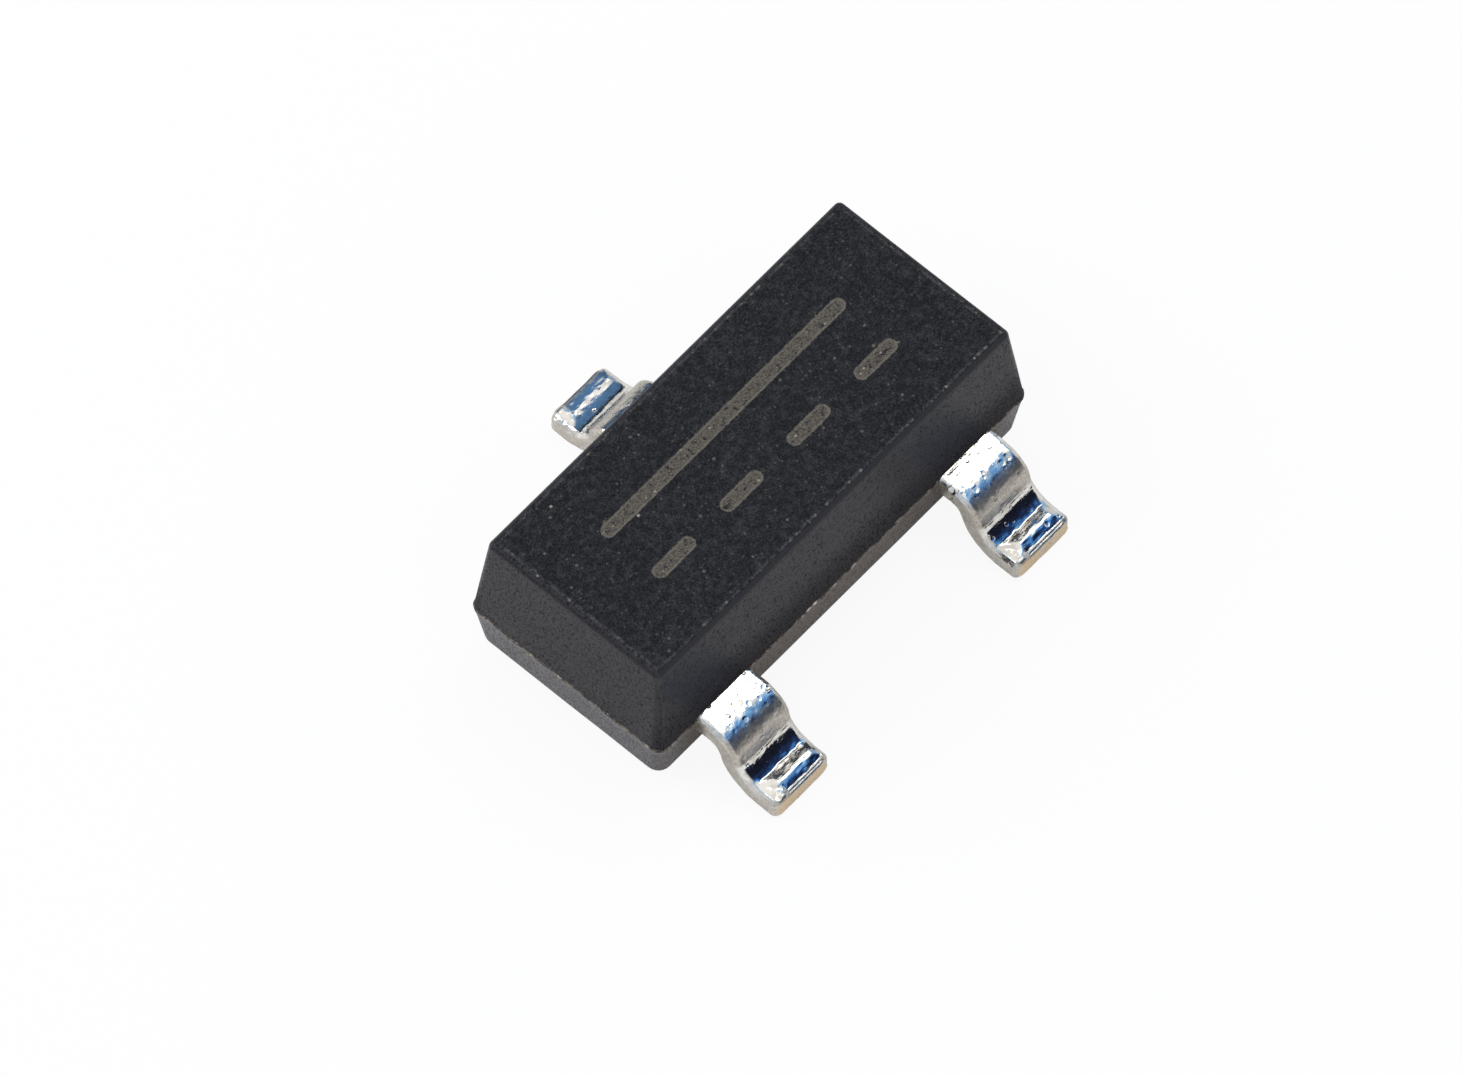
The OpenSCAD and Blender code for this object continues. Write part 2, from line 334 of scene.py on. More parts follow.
def moulding_surface(s):
    """Points and quads of the body, and the height of each point over the parting line.

    Rounded rectangles are carried up the wall profile and closed by a grid on the top. The surface is then
    moved along its normal by the fine relief, the flash and the etched strokes.
    """
    along, across, _ = BODY_RING
    table = ring_table(*BODY_RING)
    inset, height, corner = wall_profile(s).T[:, :, None]
    half_x, half_y = BODY_HIGH[0] - inset, BODY_HIGH[1] - inset
    x = table[0] * (half_x - corner) + table[2] * corner
    y = table[1] * (half_y - corner) + table[3] * corner
    walls = np.stack([x, y, np.broadcast_to(height, x.shape)], axis=-1).reshape(-1, 3)
    grid_x, grid_y = np.meshgrid(np.linspace(-1, 1, along + 1) * half_x[-1],
                                 np.linspace(-1, 1, across + 1) * half_y[-1])
    flat = np.stack([grid_x, grid_y, np.full_like(grid_x, height[-1, 0])], axis=-1).reshape(-1, 3)
    quads = np.concatenate([grid_quads(*x.shape, closed=True), grid_quads(across + 1, along + 1, len(walls))])
    points, quads, _ = weld(np.concatenate([walls, flat]), quads)
    normals = point_normals(points, quads)
    out = points + normals * moulding_relief(points, normals, s)[:, None]
    out[:, 2] += parting_drift(points, s)
    return out, quads, points[:, 2] - s.parting


def moulding_relief(points, normals, s):
    """How far the moulded surface stands out: texture on the faces, a low rim, flash at the parting, strokes.

    The lower half stands out a little more than the upper one, so a ragged ledge runs along the parting.
    """
    flat = smooth_step(0.9, 0.99, np.abs(normals[:, 2]))
    texture = lattice_noise(points, 0.034 * MM, 1) + 0.6 * lattice_noise(points, 0.015 * MM, 2)
    waves = lattice_noise(points, 0.24 * MM, 3)
    out = s.relief * (flat * texture + 0.9 * waves)
    away = np.minimum(BODY_HIGH[0] - np.abs(points[:, 0]), BODY_HIGH[1] - np.abs(points[:, 1]))
    rim = np.exp(-((away - 0.112 * MM) / (0.010 * MM)) ** 2) * (points[:, 2] > s.parting)
    out += flat * rim * s.relief * (1.6 + 1.6 * lattice_noise(points, 0.040 * MM, 4))
    level = points[:, 2] - s.parting
    chips = 0.75 + 0.5 * lattice_noise(points, 0.06 * MM, 6) + 0.35 * lattice_noise(points, 0.022 * MM, 7)
    ledge = smooth_step(3.0 * UM, -3.0 * UM, level) * np.exp(np.minimum(level, 0.0) / (0.035 * MM))
    out += (1.0 - flat) * s.flash * ledge * chips
    top = flat * (level > 0.0)
    return out - top * s.etch * smooth_step(4.0 * UM, -7.0 * UM, etch_distance(points, s))


def parting_drift(points, s):
    """How far the parting line wanders up or down: two noises along it, fading with the distance from it."""
    drift = 1.1 * lattice_noise(points, 0.13 * MM, 8) + 1.2 * lattice_noise(points, 0.040 * MM, 9)
    return s.flash * drift * np.exp(-((points[:, 2] - s.parting) / (0.03 * MM)) ** 2)


def leg_length(s):
    """Length of the straight leg: the drop that the two bends leave, along the leg's slope."""
    drop = DRAIN_HIGH[2] - s.thickness
    bends = s.shoulder + s.heel + s.thickness
    return (drop - bends * (1.0 - np.cos(s.slope))) / np.sin(s.slope)


def lead_path(s, inner):
    """Places along the middle of the strip from its inner end to the tip, as run outwards, height and slope.

    Straight runs and circular bends follow each other, each starting where the last one ended.
    """
    top, tip = DRAIN_HIGH[2], DRAIN_HIGH[1]
    leg = leg_length(s)
    run = (s.shoulder + s.heel + s.thickness) * np.sin(s.slope) + leg * np.cos(s.slope)
    start = tip - s.foot - run
    half = s.thickness / 2
    stretches = [
        (start - inner, 0.0, 0.0, FLAT_STEPS),
        ((s.shoulder + half) * s.slope, 0.0, s.slope, SHOULDER_STEPS),
        (leg, s.slope, s.slope, LEG_STEPS),
        ((s.heel + half) * s.slope, s.slope, 0.0, HEEL_STEPS),
        (s.foot, 0.0, 0.0, FOOT_STEPS),
    ]
    steps = np.concatenate([np.full(count, far / count) for far, _, _, count in stretches])
    slopes = np.concatenate([first + (last - first) * (np.arange(count) + 0.5) / count
                             for _, first, last, count in stretches])
    y = inner + np.concatenate([[0.0], np.cumsum(steps * np.cos(slopes))])
    z = top - half - np.concatenate([[0.0], np.cumsum(steps * np.sin(slopes))])
    tilt = np.concatenate([[0.0], (slopes[1:] + slopes[:-1]) / 2, [0.0]])
    return np.stack([y, z, tilt], axis=1), np.concatenate([[0.0], np.cumsum(steps)])


def end_rounding(far, radius):
    """How much a half size shrinks at distance `far` from an end that is rounded with the given radius."""
    reach = np.clip(1.0 - far / radius, 0.0, 1.0)
    return radius * (1.0 - np.sqrt(1.0 - reach ** 2))


def lead_surface(s, inner, wide_end, wide_half, wide_shift):
    """Points, quads, normals and distances to the tip of one lead that runs out along +Y.

    Its section, carried along the path, is a rounded rectangle whose half width goes from the wide inner
    plate to the strip, and which closes at both ends through rounded edges to a flat cap.
    """
    path, run = lead_path(s, inner)
    to_tip, to_inner = run[-1] - run, run
    widen = smooth_step(wide_end + 0.02 * MM, wide_end - 0.02 * MM, path[:, 0])
    half_w = s.width / 2 + (wide_half - s.width / 2) * widen
    half_w = half_w - end_rounding(to_tip, s.toe) - end_rounding(to_inner, s.toe)
    half_t = s.thickness / 2 - end_rounding(to_tip, s.tip)
    corner = np.minimum(s.edge, half_t * 0.9)
    table = ring_table(*LEAD_RING)
    across = table[0] * (half_w - corner)[:, None] + table[2] * corner[:, None]
    above = table[1] * (half_t - corner)[:, None] + table[3] * corner[:, None]
    y = path[:, 0:1] + above * np.sin(path[:, 2:3])
    z = path[:, 1:2] + above * np.cos(path[:, 2:3])
    rings = np.stack([across + (wide_shift * widen)[:, None], y, z], axis=-1)
    caps = [rings[end].mean(axis=0) + (rings[end] - rings[end].mean(axis=0)) * scale
            for end, scale in ((0, 0.0), (0, 0.5), (-1, 0.75), (-1, 0.5), (-1, 0.25), (-1, 0.0))]
    rings = np.concatenate([caps[:2], rings, caps[2:]])
    far = np.concatenate([np.zeros(2), run, np.full(4, run[-1])])
    quads = grid_quads(rings.shape[0], rings.shape[1], closed=True)
    points = rings.reshape(-1, 3)
    far = np.repeat(far, rings.shape[1])
    welded, faces, first = weld(points, quads)
    faces = faces[:, ::-1]
    normals = point_normals(welded, faces)
    return welded, faces, normals, run[-1] - far[first]


def face_profile(far, table):
    """Height of the marks that forming leaves on an upper face, for the distance from the tip along it.

    The height is the running sum of the tangent of the tilt that the table gives, and is 0 at its far end.
    """
    places, tilts = np.array(table).T
    steps = np.linspace(0.0, places[-1] * UM, PROFILE_STEPS)
    rise = np.cumsum(np.tan(np.radians(np.interp(steps, places * UM, tilts)))) * steps[1]
    return np.interp(far, steps, rise - rise[-1])


def plating_relief(points, normals, side, to_tip, table, s):
    """How far the plated surface stands out: soft lumps everywhere, and forming marks on the upper face.

    `side` is the distance from the lead's middle line. The marks wander along the lead. On the foot they end
    short of the long edges, where the face falls away a little.
    """
    upper = smooth_step(-0.2, 0.5, normals[:, 2])
    sole = smooth_step(-0.6, -0.95, normals[:, 2])
    foot = smooth_step(0.45 * MM, 0.38 * MM, to_tip)
    lumps = lattice_noise(points, 0.06 * MM, 11) + 0.6 * lattice_noise(points, 0.026 * MM, 12)
    root = smooth_step(0.60 * MM, 0.66 * MM, to_tip)
    lumps = s.lumps * lumps * (1.0 - 0.8 * sole - upper * (0.4 * foot + 0.6 * root))
    far = face_distance(to_tip, s)
    along = points * (0.5, 1.0, 1.0)
    wander = 6.0 * UM * lattice_noise(along, 0.05 * MM, 13) + 4.5 * UM * lattice_noise(along, 0.017 * MM, 14)
    broken = 8.0 * UM * lattice_noise(points * (1.0, 0.4, 0.4), 0.032 * MM, 16)
    stepped = smooth_step(0.085 * MM, 0.10 * MM, far) * smooth_step(0.20 * MM, 0.17 * MM, far)
    wander = wander + broken * stepped
    mark = s.press * face_profile(far + wander, table + SAGGED_SHOULDER)
    heel = s.press * face_profile(PLAIN_HEEL, table + SAGGED_SHOULDER)
    ragged = side + 0.016 * MM * lattice_noise(points, 0.05 * MM, 15)
    left, right = (np.interp(far, *(np.array(limit).T * MM)) for limit in (PRESSED_LEFT, PRESSED_RIGHT))
    pressed = smooth_step(left - 0.030 * MM, left + 0.020 * MM, ragged)
    pressed = pressed * smooth_step(right + 0.025 * MM, right - 0.020 * MM, ragged)
    pressed = 1.0 - foot * (1.0 - pressed)
    fallen = 8.0 * UM * foot * smooth_step(0.150 * MM, s.width / 2, np.abs(side))
    return lumps + upper * (heel + pressed * (mark - heel) - fallen)


def face_distance(to_tip, s):
    """Distance to the tip along a lead's upper face, from the distance along its middle.

    It is shorter round the inside of the heel, longer over the shoulder and the same on the straight runs.
    """
    half, leg, beyond = s.thickness / 2, leg_length(s), MM
    middle = np.cumsum([0.0, s.foot, (s.heel + half) * s.slope, leg, (s.shoulder + half) * s.slope, beyond])
    upper = np.cumsum([0.0, s.foot, s.heel * s.slope, leg, (s.shoulder + s.thickness) * s.slope, beyond])
    return np.interp(to_tip, middle, upper)


def node(tree, kind, inputs=None, **settings):
    """Adds a shader node, sets its options, and sets or links its inputs by name or number."""
    added = tree.nodes.new(kind)
    for name, value in settings.items():
        setattr(added, name, value)
    for key, value in (inputs or {}).items():
        if isinstance(value, bpy.types.NodeSocket):
            tree.links.new(value, added.inputs[key])
        else:
            added.inputs[key].default_value = value
    return added


def calc(tree, operation, *values):
    """Adds a Math node and returns its result."""
    return node(tree, "ShaderNodeMath", dict(enumerate(values)), operation=operation).outputs[0]


def mul(tree, first, second):
    """Adds a Math node for a product and returns its result."""
    return calc(tree, "MULTIPLY", first, second)


def line(tree, value, factor, offset):
    """Adds a Math node for value * factor + offset and returns its result."""
    return calc(tree, "MULTIPLY_ADD", value, factor, offset)


def fade(tree, value, low, high):
    """Adds a smooth Map Range from 0 at low to 1 at high and returns its result."""
    inputs = {"Value": value, "From Min": low, "From Max": high}
    return node(tree, "ShaderNodeMapRange", inputs, interpolation_type="SMOOTHSTEP").outputs[0]


def blend(tree, factor, first, second):
    """Adds a colour Mix node and returns its result."""
    added = node(tree, "ShaderNodeMix", {"Factor": factor}, data_type="RGBA")
    for socket, value in ((added.inputs[6], first), (added.inputs[7], second)):
        if isinstance(value, bpy.types.NodeSocket):
            tree.links.new(value, socket)
        else:
            socket.default_value = (*value, 1.0)
    return added.outputs[2]


def times(colour, factor):
    """Makes a colour paler or darker by a factor."""
    return [factor * channel for channel in colour]


def start_group(name, inputs, outputs):
    """Makes a shader node group with the given sockets and returns its tree, input node and output node."""
    tree = bpy.data.node_groups.new(name, "ShaderNodeTree")
    for label, kind in inputs:
        tree.interface.new_socket(label, in_out="INPUT", socket_type=kind)
    for label in outputs:
        tree.interface.new_socket(label, in_out="OUTPUT", socket_type="NodeSocketFloat")
    return tree, tree.nodes.new("NodeGroupInput").outputs, tree.nodes.new("NodeGroupOutput").inputs


def speckle_group():
    """Group of scattered round grains: a mask that is 1 in some of the cells of a Voronoi pattern."""
    found = bpy.data.node_groups.get("scattered_grains")
    if found:
        return found
    sockets = [("Vector", "NodeSocketVector"), ("Scale", "NodeSocketFloat"), ("Size", "NodeSocketFloat"),
               ("Amount", "NodeSocketFloat")]
    tree, given, result = start_group("scattered_grains", sockets, ["Mask"])
    cells = node(tree, "ShaderNodeTexVoronoi", {"Vector": given["Vector"], "Scale": given["Scale"]})
    chance = node(tree, "ShaderNodeSeparateColor", {"Color": cells.outputs["Color"]}).outputs
    size = mul(tree, given["Size"], line(tree, chance[1], 0.7, 0.3))
    inside = fade(tree, cells.outputs["Distance"], size, mul(tree, size, 0.35))
    chosen = calc(tree, "LESS_THAN", chance[0], given["Amount"])
    strength = line(tree, mul(tree, chance[2], chance[2]), 0.8, 0.2)
    tree.links.new(mul(tree, mul(tree, inside, chosen), strength), result["Mask"])
    return tree


def tone_group():
    """Group of uneven tone: coarse and fine noise mixed, from 0 to 1 around a half."""
    found = bpy.data.node_groups.get("uneven_tone")
    if found:
        return found
    sockets = [("Vector", "NodeSocketVector"), ("Scale", "NodeSocketFloat"), ("Fine", "NodeSocketFloat")]
    tree, given, result = start_group("uneven_tone", sockets, ["Value"])
    coarse = node(tree, "ShaderNodeTexNoise", {"Vector": given["Vector"], "Scale": given["Scale"],
                                               "Detail": 3.0, "Roughness": 0.6}).outputs[0]
    finer = mul(tree, given["Scale"], 4.3)
    fine = node(tree, "ShaderNodeTexNoise", {"Vector": given["Vector"], "Scale": finer,
                                             "Detail": 2.0}).outputs[0]
    mixed = node(tree, "ShaderNodeMix", {"Factor": given["Fine"], 2: coarse, 3: fine}, data_type="FLOAT")
    tree.links.new(mixed.outputs[0], result["Value"])
    return tree


def speckle(tree, vector, scale, size, amount):
    """Places the scattered grains group and returns its mask."""
    inputs = {"Vector": vector, "Scale": scale, "Size": size, "Amount": amount}
    return node(tree, "ShaderNodeGroup", inputs, node_tree=speckle_group()).outputs[0]


def tone(tree, vector, scale, fine):
    """Places the uneven tone group and returns its value."""
    inputs = {"Vector": vector, "Scale": scale, "Fine": fine}
    return node(tree, "ShaderNodeGroup", inputs, node_tree=tone_group()).outputs[0]


def start_material(name):
    """Makes a material and returns it with its tree, its shader and the place on the piece in millimetres."""
    material = bpy.data.materials.new(name)
    material.use_nodes = True
    tree = material.node_tree
    shader = tree.nodes["Principled BSDF"]
    place = node(tree, "ShaderNodeTexCoord").outputs["Object"]
    scaled = node(tree, "ShaderNodeVectorMath", {0: place, "Scale": 1.0 / MM}, operation="SCALE").outputs[0]
    return material, tree, shader, scaled


def bump(tree, shader, height, depth):
    """Feeds a height into the shader's normal, with its full depth in metres."""
    added = node(tree, "ShaderNodeBump", {"Height": height, "Distance": depth, "Strength": 1.0})
    tree.links.new(added.outputs[0], shader.inputs["Normal"])


def inside_flat(tree, spot, inset):
    """Adds nodes for the distance in millimetres inside a flat that lies `inset` within the body."""
    gaps = [calc(tree, "SUBTRACT", (BODY_HIGH[k] - inset) / MM, calc(tree, "ABSOLUTE", spot[k]))
            for k in (0, 1)]
    return calc(tree, "MINIMUM", *gaps)


def moulding_material(s):
    """Filled epoxy: matte speckled top, smoother mottled walls, flash at the parting line, etched strokes."""
    material, tree, shader, place = start_material("epoxy_moulding")
    spot = node(tree, "ShaderNodeSeparateXYZ", {0: place}).outputs
    half_x, half_y = BODY_HIGH[:2] / MM
    level = node(tree, "ShaderNodeAttribute", attribute_name="parting_height").outputs["Fac"]
    lower = fade(tree, level, 0.003, -0.003)
    inward = inside_flat(tree, spot, edge_inset(BODY_HIGH[2] - s.parting, s))
    top = mul(tree, fade(tree, inward, -0.014, -0.002), fade(tree, level, 0.3, 0.4))
    under = inside_flat(tree, spot, edge_inset(s.parting - BODY_LOW[2], s))
    base = mul(tree, fade(tree, under, -0.014, -0.002), fade(tree, level, -0.2, -0.3))
    flat = calc(tree, "MAXIMUM", top, base)
    rim = mul(tree, fade(tree, inward, 0.018, 0.008), fade(tree, inward, -0.010, 0.002))
    rim = mul(tree, rim, top)
    blotch = tone(tree, place, 26.0, 0.50)
    grain = tone(tree, place, 84.0, 0.35)

    resin = blend(tree, mul(tree, fade(tree, blotch, 0.47, 0.64), 0.90), s.dark, s.cloud)
    resin = blend(tree, mul(tree, fade(tree, grain, 0.50, 0.62), 0.62), resin, s.cloud)
    pale = mul(tree, fade(tree, blotch, 0.40, 0.60), rim)
    resin = blend(tree, pale, resin, times(s.cloud, 1.5))
    dots = fade(tree, tone(tree, place, 78.0, 0.30), 0.50, 0.60)
    mottle = blend(tree, dots, times(s.wall, 1.9), times(s.wall, 0.2))
    aside = calc(tree, "ABSOLUTE", spot[1])
    # Painted highlight: the rounded edge at the top of the long walls is painted paler, towards the cloud
    # tone.
    turned = mul(tree, fade(tree, inward, -0.037, -0.030), fade(tree, level, 0.3, 0.4))
    turned = mul(tree, turned, fade(tree, aside, half_y - 0.11, half_y - 0.08))
    mottle = blend(tree, mul(tree, turned, 0.8), mottle, s.cloud)
    colour = blend(tree, flat, mottle, resin)
    large = speckle(tree, place, 17.0, 0.24, 0.32)
    small = speckle(tree, place, 36.0, 0.40, 0.32)
    rare = speckle(tree, place, 8.0, 0.10, 0.30)
    crest = mul(tree, speckle(tree, place, 32.0, 0.55, 0.80), rim)
    grains = calc(tree, "MAXIMUM", mul(tree, large, 0.38), mul(tree, small, 0.22))
    grains = calc(tree, "MAXIMUM", grains, calc(tree, "MAXIMUM", rare, mul(tree, crest, 0.80)))
    shown = mul(tree, grains, line(tree, flat, 0.78, 0.22))
    colour = blend(tree, shown, colour, s.silica)

    # Painted reflection: the walls below the parting line, but not the underside, are painted paler for the
    # floor they mirror.
    painted_floor_reflection = mul(tree, lower, line(tree, base, -0.6, 0.6))
    colour = blend(tree, painted_floor_reflection, colour, s.lower)
    beside = fade(tree, aside, half_y - 0.09, half_y - 0.05)
    corner = fade(tree, calc(tree, "ABSOLUTE", spot[0]), half_x - 0.30, half_x - 0.05)
    # Painted shade: the long walls turn darker, browner and rougher towards and below the parting line, less
    # so near the ends.
    painted_shade = mul(tree, beside, fade(tree, level, 0.22, -0.05))
    painted_shade = mul(tree, painted_shade, line(tree, corner, -0.8, 1.0))
    painted_shade_amount = mul(tree, painted_shade, line(tree, lower, 0.75, 0.05))
    colour = blend(tree, painted_shade_amount, colour, s.painted_shade)
    ledge = calc(tree, "ADD", level, line(tree, tone(tree, place, 40.0, 0.4), 0.030, -0.011))
    ledge = fade(tree, calc(tree, "ABSOLUTE", ledge), 0.018, 0.006)
    flecks = mul(tree, ledge, fade(tree, tone(tree, place, 22.0, 0.55), 0.44, 0.60))
    colour = blend(tree, mul(tree, flecks, 0.8), colour, s.brown)
    glints = mul(tree, ledge, speckle(tree, place, 20.0, 0.72, 0.42))
    colour = blend(tree, glints, colour, times(s.silica, 1.8))

    distance = node(tree, "ShaderNodeAttribute", attribute_name="etch_distance").outputs["Fac"]
    wander = line(tree, tone(tree, place, 48.0, 0.4), 0.028, -0.014)
    ragged = calc(tree, "ADD", distance, wander)
    inside = mul(tree, fade(tree, ragged, 0.004, -0.004), top)
    burnt = mul(tree, inside, fade(tree, tone(tree, place, 30.0, 0.3), 0.62, 0.52))
    border = calc(tree, "ABSOLUTE", calc(tree, "ADD", ragged, 0.006))
    lip = mul(tree, fade(tree, border, 0.010, 0.002), top)
    stroke = blend(tree, fade(tree, grain, 0.42, 0.60), times(s.etched, 0.6), times(s.etched, 1.35))
    colour = blend(tree, burnt, colour, stroke)
    colour = blend(tree, mul(tree, lip, 0.5), colour, times(s.etched, 1.6))
    bright = mul(tree, speckle(tree, place, 30.0, 0.34, 0.34), inside)
    colour = blend(tree, mul(tree, bright, 0.8), colour, s.silica)
    tree.links.new(colour, shader.inputs["Base Color"])

    rough = line(tree, flat, 0.25, 0.31)
    rough = calc(tree, "ADD", rough, mul(tree, dots, 0.40))
    rough = calc(tree, "SUBTRACT", rough, mul(tree, lower, 0.07))
    rough = calc(tree, "ADD", rough, mul(tree, burnt, 0.15))
    shaded = mul(tree, beside, fade(tree, level, 0.36, 0.06))
    shaded = mul(tree, shaded, calc(tree, "SUBTRACT", 1.0, lower))
    matte = line(tree, shaded, 0.30, mul(tree, painted_shade, 0.10))
    rough = calc(tree, "ADD", rough, matte)
    tree.links.new(rough, shader.inputs["Roughness"])
    shader.inputs["Specular IOR Level"].default_value = 0.225
    pitted = calc(tree, "ADD", blotch, mul(tree, grains, 0.5))
    raised = mul(tree, pitted, line(tree, flat, 0.85, 0.15))
    bump(tree, shader, calc(tree, "SUBTRACT", raised, mul(tree, dots, 0.20)), 4.0 * UM)
    return material


def tin_material(s):
    """Bright tin plating with soft lumps, dull with painted shade on the bent leg; base metal at the cut tip.
    """
    material, tree, shader, place = start_material("tin_plating")
    shader.inputs["Metallic"].default_value = 1.0
    spot = node(tree, "ShaderNodeSeparateXYZ", {0: place}).outputs
    far = node(tree, "ShaderNodeAttribute", attribute_name="tip_distance").outputs["Fac"]
    patches = tone(tree, place, 9.0, 0.35)
    grain = tone(tree, place, 60.0, 0.4)
    across = node(tree, "ShaderNodeMapping", {"Vector": place, "Scale": (0.14, 1.0, 1.0)}).outputs[0]
    lines = tone(tree, across, 46.0, 0.4)

    colour = blend(tree, fade(tree, patches, 0.40, 0.64), s.bright, s.dull)
    wander = line(tree, tone(tree, place, 22.0, 0.5), 0.09, -0.045)
    ragged = calc(tree, "ADD", far, wander)
    leg = mul(tree, fade(tree, ragged, 0.565, 0.520), fade(tree, ragged, 0.365, 0.410))
    out = calc(tree, "ABSOLUTE", spot[0])
    off_pitch = calc(tree, "ABSOLUTE", calc(tree, "SUBTRACT", out, s.pitch / 2 / MM))
    side = calc(tree, "MINIMUM", out, off_pitch)
    sheared = fade(tree, side, s.width / 2 / MM - 0.012, s.width / 2 / MM - 0.002)
    broken = line(tree, tone(tree, place, 26.0, 0.3), 0.08, -0.040)
    rolled = fade(tree, calc(tree, "ADD", far, broken), 0.046, 0.030)
    edges = mul(tree, calc(tree, "MAXIMUM", sheared, rolled), 0.8)
    leg = calc(tree, "MAXIMUM", leg, edges)
    # Partly painted: the bent leg, long sides and tip edge get darker, warmer tin, duller and in painted
    # shade and floor reflection.
    bent = blend(tree, fade(tree, grain, 0.40, 0.62), times(s.dull_and_shaded, 0.74), times(s.dull_and_shaded, 1.22))
    colour = blend(tree, mul(tree, leg, 0.85), colour, bent)
    end = DRAIN_HIGH[1] / MM
    cut = fade(tree, calc(tree, "ABSOLUTE", spot[1]), end - 0.014, end - 0.004)
    smear = mul(tree, cut, fade(tree, tone(tree, place, 16.0, 0.3), 0.30, 0.52))
    colour = blend(tree, mul(tree, smear, 0.85), colour, s.copper)
    pits = speckle(tree, place, 13.0, 0.24, 0.12)
    colour = blend(tree, mul(tree, pits, 0.7), colour, times(s.dull, 0.2))
    tree.links.new(colour, shader.inputs["Base Color"])

    rough = line(tree, patches, 0.16, 0.01)
    rough = calc(tree, "ADD", rough, mul(tree, smear, 0.22))
    rough = calc(tree, "ADD", rough, mul(tree, leg, 0.30))
    tree.links.new(rough, shader.inputs["Roughness"])
    soft = line(tree, fade(tree, far, 0.40, 0.50), 0.15, 0.45)
    soft = mul(tree, tone(tree, place, 30.0, 0.25), soft)
    height = calc(tree, "ADD", soft, mul(tree, lines, 0.22))
    dimples = speckle(tree, place, 26.0, 0.62, 0.30)
    shoulder = mul(tree, fade(tree, far, 0.53, 0.56), fade(tree, far, 0.66, 0.60))
    dents = speckle(tree, place, 24.0, 0.72, 0.62)
    dents = mul(tree, dents, mul(tree, shoulder, 1.6))
    height = calc(tree, "SUBTRACT", height, calc(tree, "MAXIMUM", dimples, dents))
    bump(tree, shader, calc(tree, "SUBTRACT", height, mul(tree, pits, 0.8)), 3.2 * UM)
    return material


def inner_material(name, colour, metallic, roughness, scale):
    """Finish of a piece sealed in the moulding: an uneven tone over one colour, with a fine grain."""
    material, tree, shader, place = start_material(name)
    patches = tone(tree, place, scale, 0.4)
    shade = blend(tree, fade(tree, patches, 0.35, 0.65), times(colour, 0.7), colour)
    tree.links.new(shade, shader.inputs["Base Color"])
    shader.inputs["Metallic"].default_value = metallic
    rough = line(tree, patches, 0.2, roughness)
    tree.links.new(rough, shader.inputs["Roughness"])
    bump(tree, shader, patches, 1.0 * UM)
    return material


class TRANSISTOR_OT_moulding(bpy.types.Operator):
    """Build the moulded epoxy body"""

    bl_idname = "transistor.moulding"
    bl_label = "Moulded body"

    def execute(self, context):
        s = context.scene.transistor_moulding
        points, quads, level = moulding_surface(s)
        piece = make_piece("moulded_body_skin", points, quads, "moulding", "moulded_body")
        add_field(piece, "etch_distance", etch_distance(points, s))
        add_field(piece, "parting_height", level)
        piece.data.materials.append(moulding_material(s))
        return {"FINISHED"}


class TRANSISTOR_OT_leads(bpy.types.Operator):
    """Build the three formed leads"""

    bl_idname = "transistor.leads"
    bl_label = "Formed leads"

    def execute(self, context):
        s = context.scene.transistor_lead
        tin = tin_material(s)
        post_end = BODY_HIGH[1] - s.cover
        post_half = (GATE_HIGH[0] - GATE_LOW[0]) / 2
        post_shift = -(GATE_HIGH[0] + GATE_LOW[0]) / 2 - s.pitch / 2
        post_start = -GATE_HIGH[1]
        plans = (
            ("gate", -s.pitch / 2, -1, (post_start, post_end, post_half, post_shift)),
            ("source", s.pitch / 2, -1, (post_start, post_end, post_half, -post_shift)),
            ("drain", 0.0, 1, (DRAIN_LOW[1], -DRAIN_LOW[1], s.paddle / 2, 0.0)),
        )
        for name, across, facing, plan in plans:
            points, quads, normals, to_tip = lead_surface(s, *plan)
            turn = np.array([facing, facing, 1.0])
            points = points * turn + (across, 0.0, 0.0)
            normals = normals * turn
            side = points[:, 0] - across
            table = DISHED_FOOT if name == "drain" else STEPPED_FOOT
            points = points + normals * plating_relief(points, normals, side, to_tip, table, s)[:, None]
            piece = make_piece(f"{name}_lead_formed", points, quads, "plated_lead", f"{name}_lead")
            add_field(piece, "tip_distance", to_tip)
            piece.data.materials.append(tin)
        return {"FINISHED"}


class TRANSISTOR_OT_inner(bpy.types.Operator):
    """Finish the pieces sealed inside the body"""

    bl_idname = "transistor.inner"
    bl_label = "Sealed pieces"

    def execute(self, context):
        gold = inner_material("gold_wire", (0.85, 0.62, 0.24), 1.0, 0.14, 90.0)
        finishes = {
            "silicon_die": inner_material("polished_silicon", (0.10, 0.11, 0.15), 0.6, 0.10, 18.0),
            "die_attach": inner_material("silver_adhesive", (0.55, 0.56, 0.57), 0.7, 0.40, 60.0),
            "gate_bond_wire": gold,
            "source_bond_wire": gold,
        }
        for name, material in finishes.items():
            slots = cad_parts[name].material_slots
            if not slots:
                raise RuntimeError(f"{name} has no material slot")
            for slot in slots:
                slot.material = material
        return {"FINISHED"}


def place_light(name, direction, far, wide, colour, power):
    """Adds a square area light that looks at the part from a direction."""
    lamp = bpy.data.lights.new(name, "AREA")
    lamp.shape = "SQUARE"
    lamp.size = wide
    lamp.color = colour
    lamp.energy = power
    held = bpy.data.objects.new(name, lamp)
    bpy.context.scene.collection.objects.link(held)
    aim = Vector(direction).normalized()
    held.matrix_world = Matrix.Translation(aim * far) @ aim.to_track_quat("Z", "Y").to_matrix().to_4x4()


def mirror_rays(tree, rays):
    """Mask that is 1 for what is seen in a mirror or through glass."""
    return calc(tree, "MAXIMUM", rays["Is Glossy Ray"], rays["Is Transmission Ray"])


def bare_material(name):
    """Makes a material with an empty tree and returns both."""
    material = bpy.data.materials.new(name)
    material.use_nodes = True
    material.node_tree.nodes.clear()
    return material, material.node_tree


